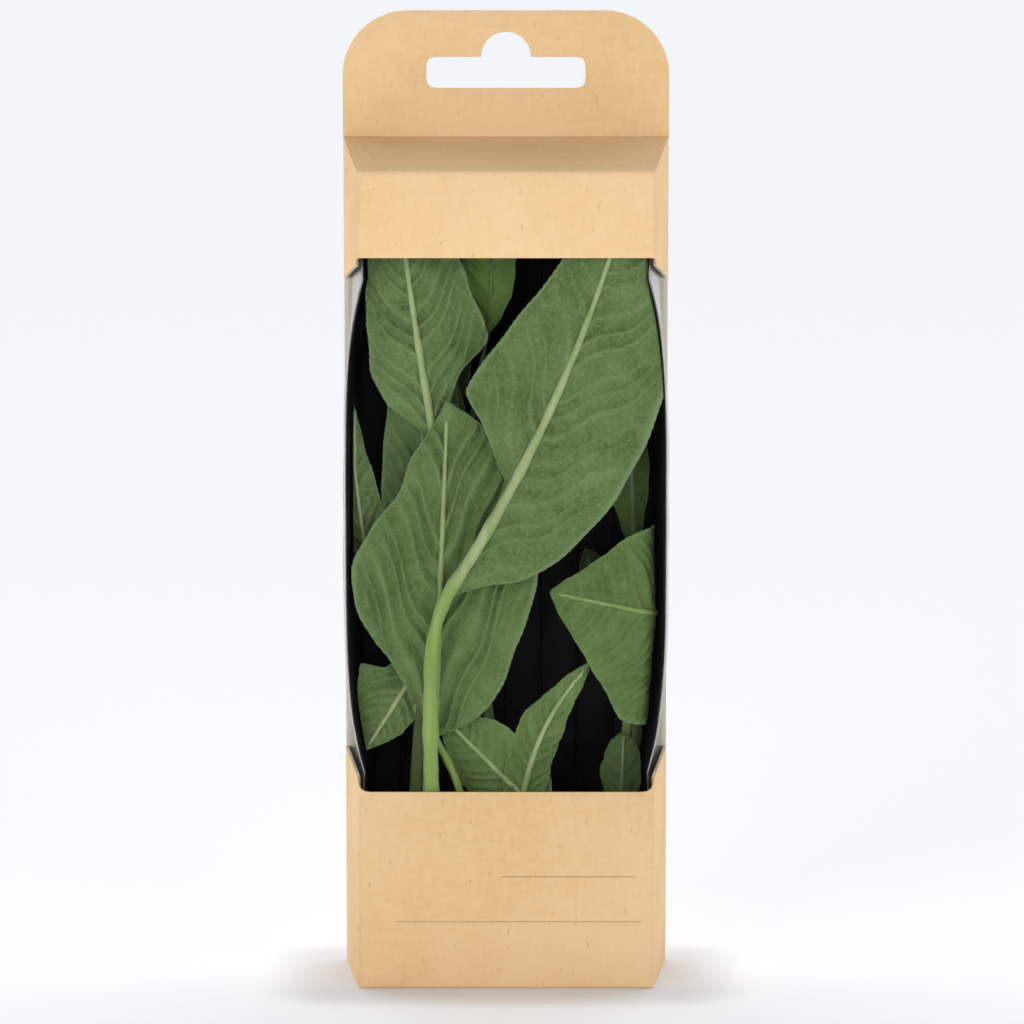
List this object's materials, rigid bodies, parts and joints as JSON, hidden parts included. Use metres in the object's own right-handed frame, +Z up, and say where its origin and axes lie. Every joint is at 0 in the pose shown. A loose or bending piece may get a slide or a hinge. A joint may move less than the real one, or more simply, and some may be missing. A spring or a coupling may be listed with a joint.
{
  "type": "packed sage bunch in a hanging window carton",
  "caption": "Upright kraft hanging carton with a clear wrap-round window and a round-cornered slotted tab, holding leafy fresh sage sprigs in a black tray.",
  "frame": {"origin": "middle of the pack's footprint, on the surface it stands on", "axes": "+Z up along the pack to the hang tab, -Y out of the window, +X to the right as seen from the front"},
  "size_m": [0.0656, 0.029, 0.194],
  "materials": {
    "kraft_board": "matte uncoated kraft board",
    "clear_film": "clear glossy film",
    "black_tray": "black, low sheen",
    "sage": null
  },
  "bodies": {
    "root": {"carton": "kraft_board", "window_film": "clear_film", "tray": "black_tray", "sprig_front": "sage", "sprig_middle": "sage", "sprig_left": "sage", "sprig_right": "sage", "sprig_small": "sage", "sprig_back": "sage", "sprig_back_right": "sage", "sprig_back_left": "sage"}
  },
  "joints": []
}
